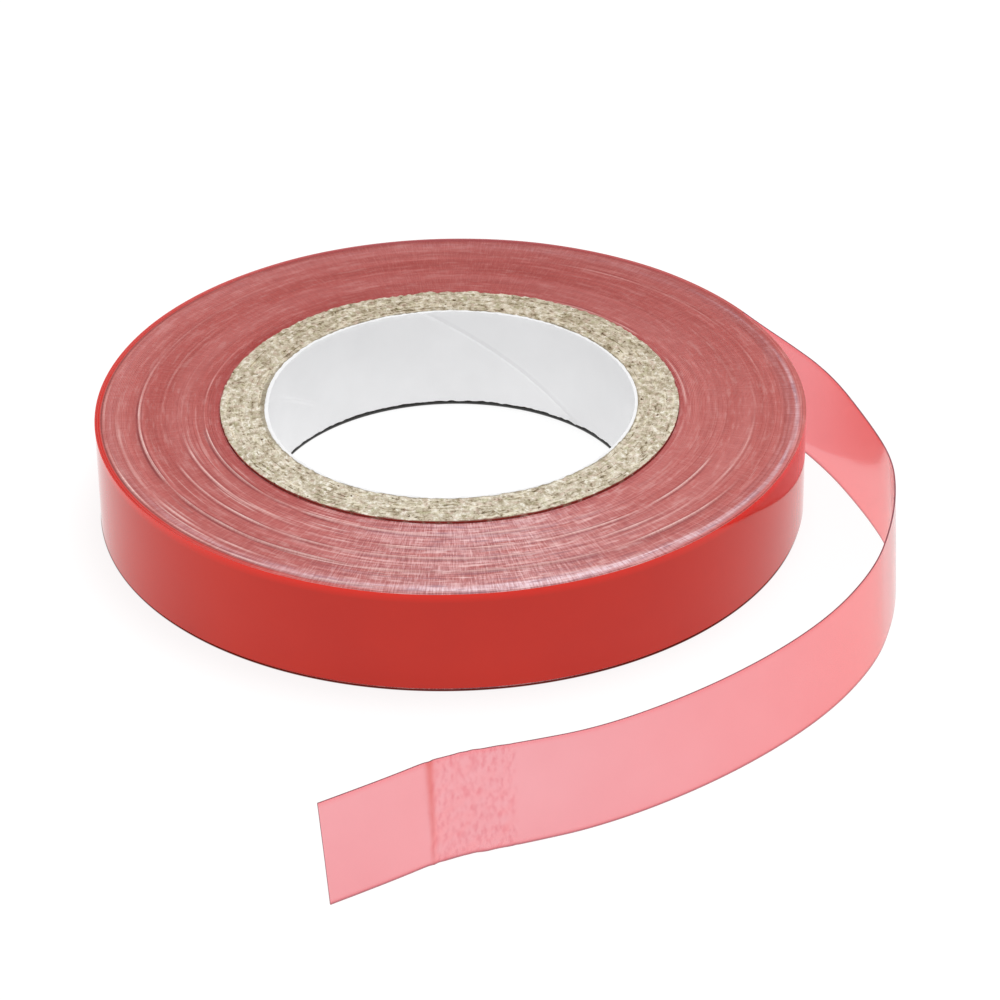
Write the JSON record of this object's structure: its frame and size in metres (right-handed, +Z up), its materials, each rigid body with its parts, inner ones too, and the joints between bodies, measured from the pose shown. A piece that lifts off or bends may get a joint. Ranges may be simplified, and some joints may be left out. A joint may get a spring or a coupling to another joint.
{
  "type": "electrical tape roll",
  "caption": "Roll of narrow red plastic tape wound on a thick spiral paper core, lying flat, with its free end peeled off the rim and standing on edge.",
  "frame": {"origin": "on the roll's axis, at the flat base of the winding, which the roll lies on", "axes": "+Z up along the roll's axis; +X is the side that the free end passes on, and the free end's cut edge lies towards -Y"},
  "size_m": [0.0803, 0.1062, 0.0114],
  "materials": {
    "core_paper": "matte",
    "core_board": "matte, fibrous cut face",
    "tape_wound": "gloss",
    "tape_film": "thin translucent film, semi-gloss"
  },
  "bodies": {
    "roll": {"core_liner": "core_paper", "core_ply_1": "core_board", "core_ply_2": "core_board", "core_ply_3": "core_board", "core_ply_4": "core_board", "core_ply_5": "core_board", "core_ply_6": "core_board", "core_ply_7": "core_board", "tape_winding": "tape_wound"},
    "unwinding_lap": {"tape_outer_lap": "tape_wound", "tape_tail": "tape_film"}
  },
  "joints": [
    {"name": "unwind", "type": "hinge", "parent": "roll", "child": "unwinding_lap", "pos_m": [0, 0, 0], "axis": [0, 0, 1], "continuous": true}
  ]
}
